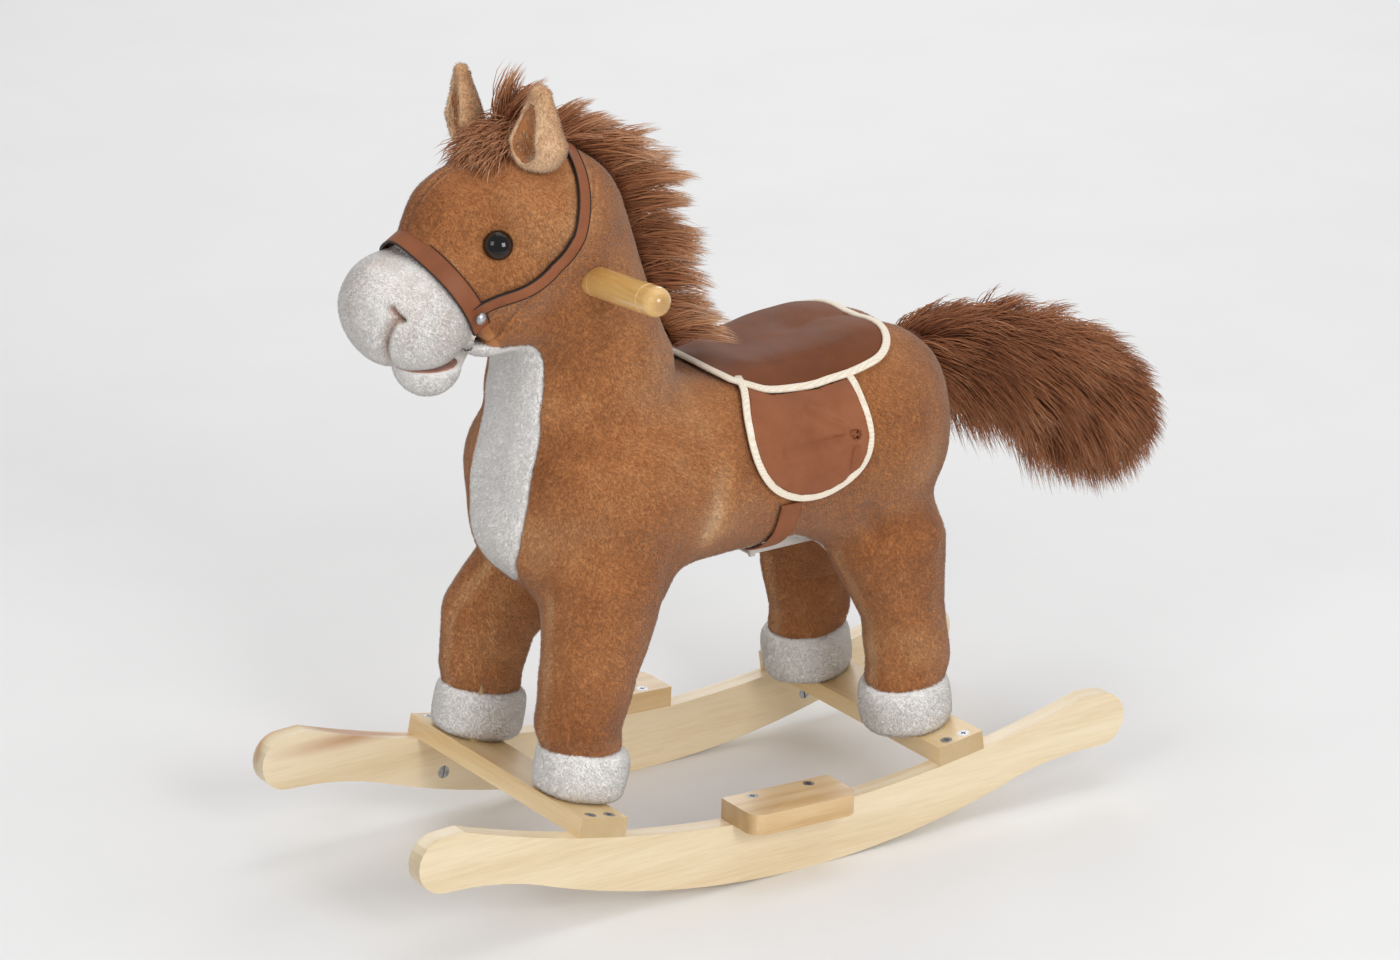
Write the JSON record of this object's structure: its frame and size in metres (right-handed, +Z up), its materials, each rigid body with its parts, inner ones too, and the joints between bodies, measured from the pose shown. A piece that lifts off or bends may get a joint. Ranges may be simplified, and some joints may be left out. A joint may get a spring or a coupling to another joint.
{
  "type": "plush rocking horse",
  "caption": "Plush rocking horse on a wooden rocker base, with saddle, bridle, handle pegs, footrests, a moving jaw and a wagging tail.",
  "frame": {"origin": "centre of the whole object's box in plan, on the floor under the rockers", "axes": "+Z up, nose towards -Y and tail towards +Y, the horse's left side towards +X"},
  "size_m": [0.296, 0.7438, 0.616],
  "materials": {
    "wood_pale": "clear satin lacquer on pale poplar",
    "wood_varnished": "glossy clear varnish",
    "wood_inner": "sawn, unfinished",
    "steel": "zinc plated",
    "plush_brown": "short soft pile",
    "plush_white": "short soft pile",
    "hair": "long pile, dark roots and lighter tips",
    "leatherette": "fine grain, semi gloss",
    "piping": "woven binding tape",
    "plastic_dark": "fine texture",
    "eye": "polished",
    "cell": "gloss wrap"
  },
  "bodies": {
    "horse": {"rocker_left": "wood_pale", "rocker_right": "wood_pale", "crossbar_front": "wood_pale", "crossbar_rear": "wood_pale", "footrest_left": "wood_varnished", "footrest_right": "wood_varnished", "wood_screws": "steel", "crossbar_bolts": "steel", "barrel_nuts": "steel", "post_front_left": "wood_inner", "post_front_right": "wood_inner", "post_rear_left": "wood_inner", "post_rear_right": "wood_inner", "post_screws": "steel", "body_board_left": "wood_inner", "body_board_right": "wood_inner", "body_cross_blocks": "wood_inner", "seat_board": "wood_inner", "neck_board": "wood_inner", "handle_left": "wood_varnished", "handle_right": "wood_varnished", "plush_body": "plush_brown", "plush_head": "plush_brown", "muzzle": "plush_white", "chest_bib": "plush_white", "belly_panel": "plush_white", "leg_front_left": "plush_brown", "leg_front_right": "plush_brown", "leg_rear_left": "plush_brown", "leg_rear_right": "plush_brown", "hoof_front_left": "plush_white", "hoof_front_right": "plush_white", "hoof_rear_left": "plush_white", "hoof_rear_right": "plush_white", "ear_left": "plush_brown", "ear_right": "plush_brown", "eyes": "eye", "mane": "hair", "forelock": "hair", "saddle_seat": "leatherette", "saddle_flap_left": "leatherette", "saddle_flap_right": "leatherette", "saddle_piping": "piping", "girth_strap": "leatherette", "noseband": "leatherette", "cheek_strap": "leatherette", "bridle_rivets": "steel", "jaw_gearbox": "plastic_dark", "tail_gearbox": "plastic_dark", "battery_box": "plastic_dark", "batteries": "cell", "sound_module": "plastic_dark"},
    "jaw": {"jaw_shaft": "steel", "jaw_lever": "plastic_dark", "lower_jaw": "plush_white"},
    "tail": {"tail_shaft": "steel", "tail_arm": "plastic_dark", "tail_hair": "hair"},
    "battery_cover": {"battery_cover": "plastic_dark"},
    "ear_button": {"ear_button": "plastic_dark"}
  },
  "joints": [
    {"name": "jaw_open", "type": "hinge", "parent": "horse", "child": "jaw", "pos_m": [0, -0.252, 0.424], "axis": [1, 0, 0], "range_deg": [-2, 9]},
    {"name": "tail_wag", "type": "hinge", "parent": "horse", "child": "tail", "pos_m": [0, 0.108, 0.333], "axis": [0, 0, 1], "range_deg": [-18, 18]},
    {"name": "battery_cover_open", "type": "hinge", "parent": "horse", "child": "battery_cover", "pos_m": [0, -0.0285, 0.2152], "axis": [-1, 0, 0], "range_deg": [0, 95]},
    {"name": "ear_button_press", "type": "slide", "parent": "horse", "child": "ear_button", "axis": [-0.4695, 0.8829, 0], "range_m": [0, 0.0015], "stiffness_N_per_m": 400}
  ]
}
